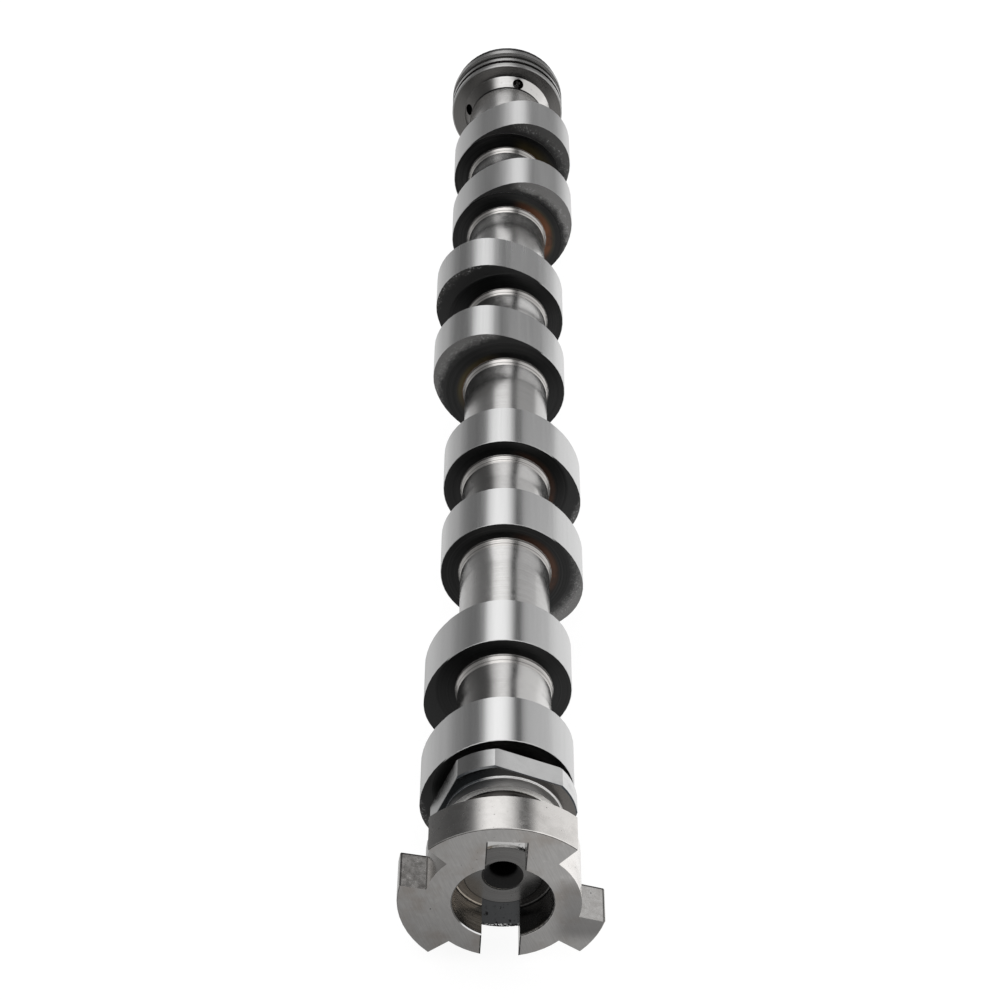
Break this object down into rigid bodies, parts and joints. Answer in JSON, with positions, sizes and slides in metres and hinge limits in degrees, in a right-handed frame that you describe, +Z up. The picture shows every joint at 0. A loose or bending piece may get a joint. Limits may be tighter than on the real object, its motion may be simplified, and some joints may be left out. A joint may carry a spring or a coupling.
{
  "type": "camshaft",
  "caption": "Steel overhead camshaft with paired egg-shaped lobes, a toothed trigger wheel with a drive slot at one end and a grooved flange at the other.",
  "frame": {"origin": "on the shaft's axis in the front face of the trigger wheel", "axes": "+Y along the shaft from the trigger wheel to the grooved flange, +Z up and +X right as seen from the wheel end"},
  "size_m": [0.0541, 0.416, 0.0509],
  "materials": {
    "steel": "turned, milled and ground"
  },
  "bodies": {
    "root": {"camshaft": "steel"}
  },
  "joints": []
}
